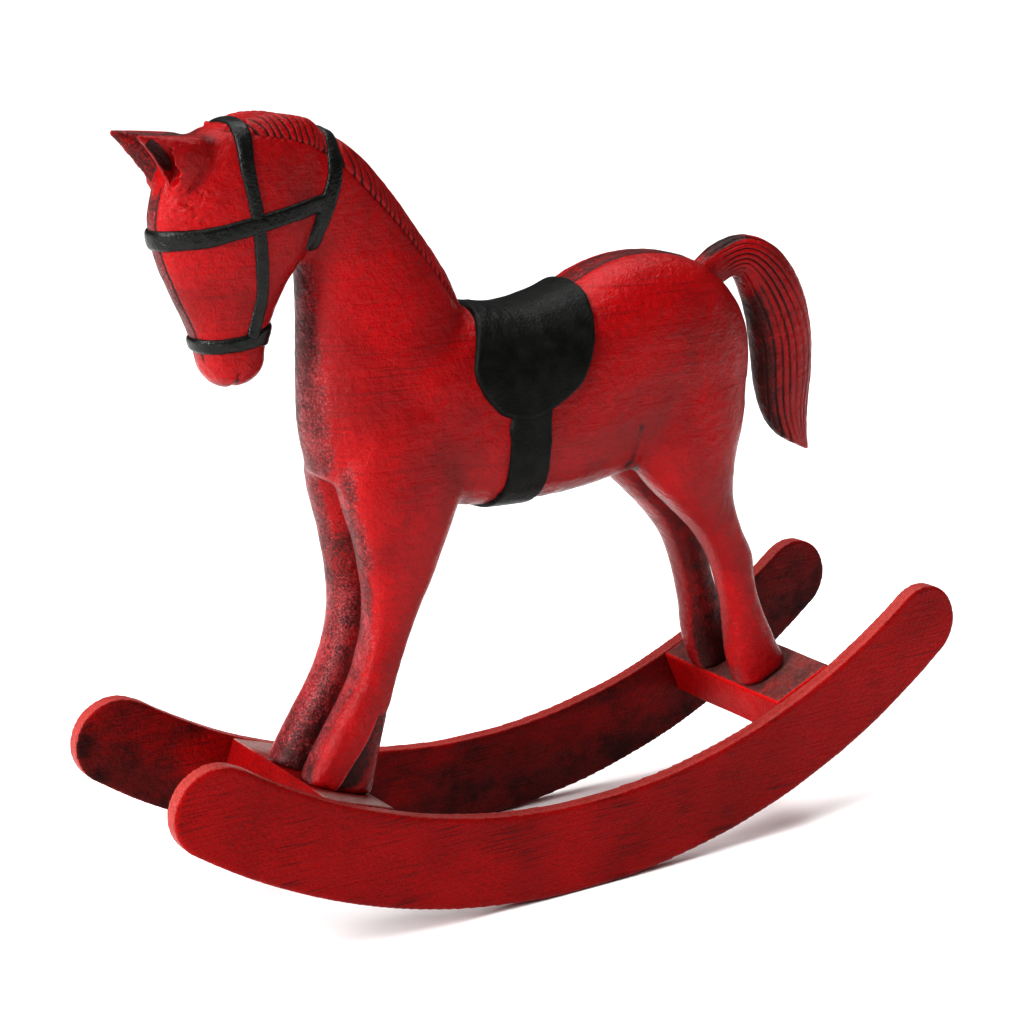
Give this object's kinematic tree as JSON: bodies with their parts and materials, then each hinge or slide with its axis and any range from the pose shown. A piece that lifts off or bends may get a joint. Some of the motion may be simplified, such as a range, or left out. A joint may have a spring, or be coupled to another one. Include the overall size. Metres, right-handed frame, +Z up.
{
  "type": "rocking horse",
  "caption": "Small carved wooden horse with a saddle and bridle, standing on cross slats between curved rocker boards; it rocks fore and aft on the floor.",
  "frame": {"origin": "on the floor under the middle of the rockers' length and gauge", "axes": "+Z up; the horse looks toward -X, its tail points to +X, and its left side is -Y"},
  "size_m": [0.3, 0.076, 0.2499],
  "materials": {
    "red_horse": "satin red paint over carved wood, rubbed with a dark wash",
    "red_rockers": "satin red paint over flat boards, edges rubbed pale",
    "black_tack": "thin black satin-painted pads and straps",
    "raw_wood": "unpainted",
    "steel": "plain"
  },
  "bodies": {
    "root": {"left_rocker": "red_rockers", "right_rocker": "red_rockers", "front_slat": "red_rockers", "rear_slat": "red_rockers", "slat_dowels": "raw_wood", "hoof_screws": "steel", "body": "red_horse", "neck": "red_horse", "head": "red_horse", "front_left_leg": "red_horse", "front_right_leg": "red_horse", "rear_left_leg": "red_horse", "rear_right_leg": "red_horse", "tail": "red_horse", "leg_dowels": "raw_wood", "neck_dowels": "raw_wood", "head_dowel": "raw_wood", "tail_dowel": "raw_wood", "saddle": "black_tack", "girth": "black_tack", "cheek_strap": "black_tack", "browband": "black_tack", "noseband": "black_tack", "throat_latch": "black_tack"}
  },
  "joints": []
}
